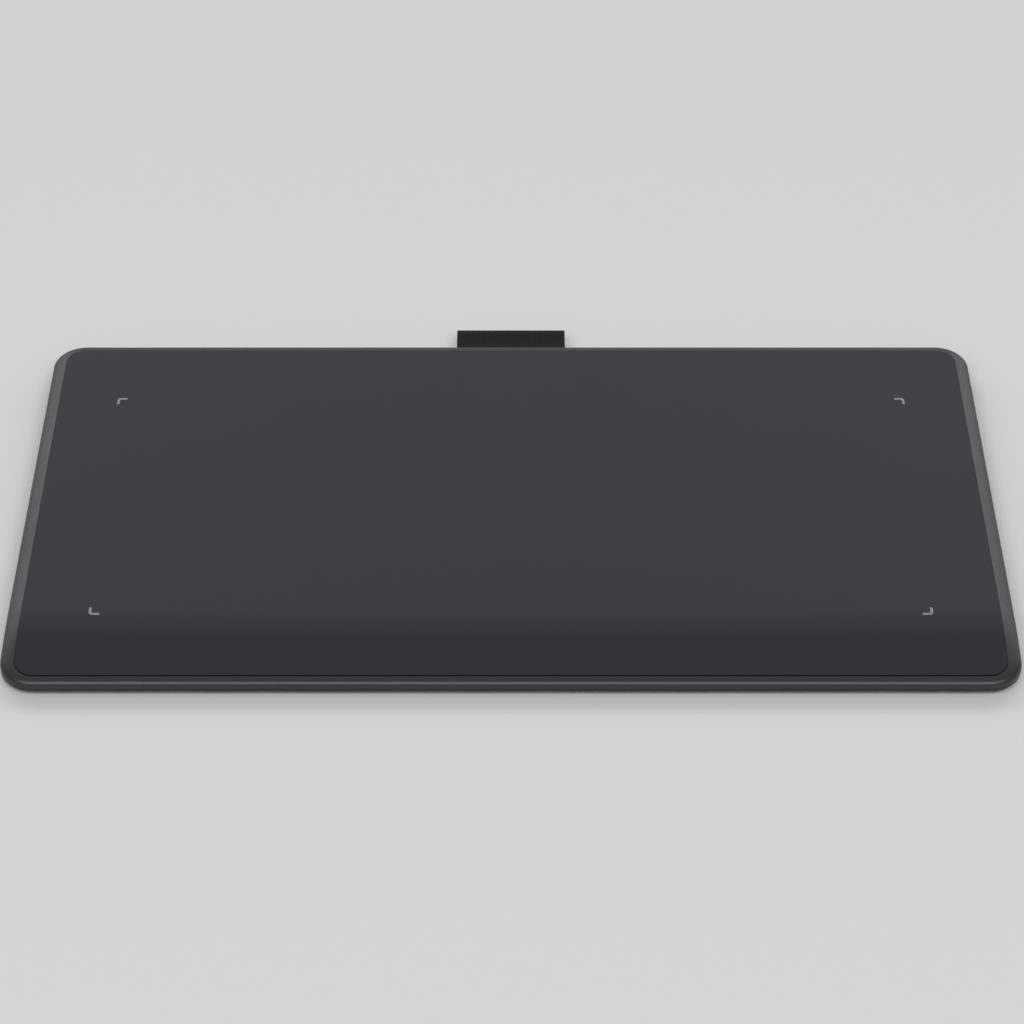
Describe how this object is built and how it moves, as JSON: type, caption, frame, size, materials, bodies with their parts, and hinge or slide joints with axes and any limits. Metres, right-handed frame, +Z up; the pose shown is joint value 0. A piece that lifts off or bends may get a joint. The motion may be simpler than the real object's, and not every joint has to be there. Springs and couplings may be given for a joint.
{
  "type": "pen tablet",
  "caption": "Thin rectangular pen tablet with a bevelled rim, a matt drawing face that sweeps down to the front edge, corner marks and a folded ribbon tag at the back.",
  "frame": {"origin": "middle of the whole outline, tag included, at desk level under the feet", "axes": "+X along the long side to the user's right, +Y away from the user towards the tag and the socket, +Z up out of the drawing face"},
  "size_m": [0.3, 0.172, 0.0086],
  "materials": {
    "case_plastic": "satin moulded plastic",
    "base_plastic": "fine-textured moulded plastic",
    "sheet": "matt, finely textured",
    "mark_ink": "screen-printed ink on the sheet",
    "adhesive": "matt",
    "board": "satin solder mask",
    "shield_metal": "satin",
    "rubber": "matt",
    "screw_steel": "blackened",
    "chip": "matt",
    "socket_steel": "satin",
    "connector": "satin",
    "button_plastic": "satin moulded plastic",
    "plunger_plastic": "satin",
    "clear_plastic": "clear, lightly frosted",
    "pouch": "satin foil",
    "lead": "satin insulation",
    "ribbon": "satin film",
    "ribbon_fabric": "woven ribbon"
  },
  "bodies": {
    "case": {"top_case": "case_plastic", "bottom_case": "base_plastic", "drawing_surface": "sheet", "sensor_tape": "adhesive", "sensor_board": "board", "shield_sheet": "shield_metal", "rubber_feet": "rubber", "long_screws": "screw_steel", "short_screws": "screw_steel", "board_screws": "screw_steel", "clamp_screws": "screw_steel", "main_board": "board", "controller_chip": "chip", "power_chip": "chip", "inductor": "chip", "crystal": "shield_metal", "wireless_module": "board", "module_can": "shield_metal", "socket_shell": "socket_steel", "socket_tongue": "connector", "switch_body": "connector", "status_led": "connector", "light_guide": "clear_plastic", "battery_tape": "adhesive", "battery": "pouch", "battery_header": "connector", "battery_plug": "connector", "battery_leads": "lead", "sensor_connector": "connector", "board_connector": "connector", "ribbon_cable": "ribbon", "tag": "ribbon_fabric", "tag_clamp": "base_plastic"},
    "power_button": {"power_button": "button_plastic"},
    "switch_plunger": {"switch_plunger": "plunger_plastic"}
  },
  "joints": [
    {"name": "button_press", "type": "slide", "parent": "case", "child": "power_button", "axis": [0, -1, 0], "range_m": [0, 0.00025], "stiffness_N_per_m": 500},
    {"name": "plunger_press", "type": "slide", "parent": "case", "child": "switch_plunger", "axis": [0, -1, 0], "range_m": [0, 0.00025]}
  ],
  "couplings": [
    {"joint": "plunger_press", "follows": "button_press", "ratio": 1}
  ]
}
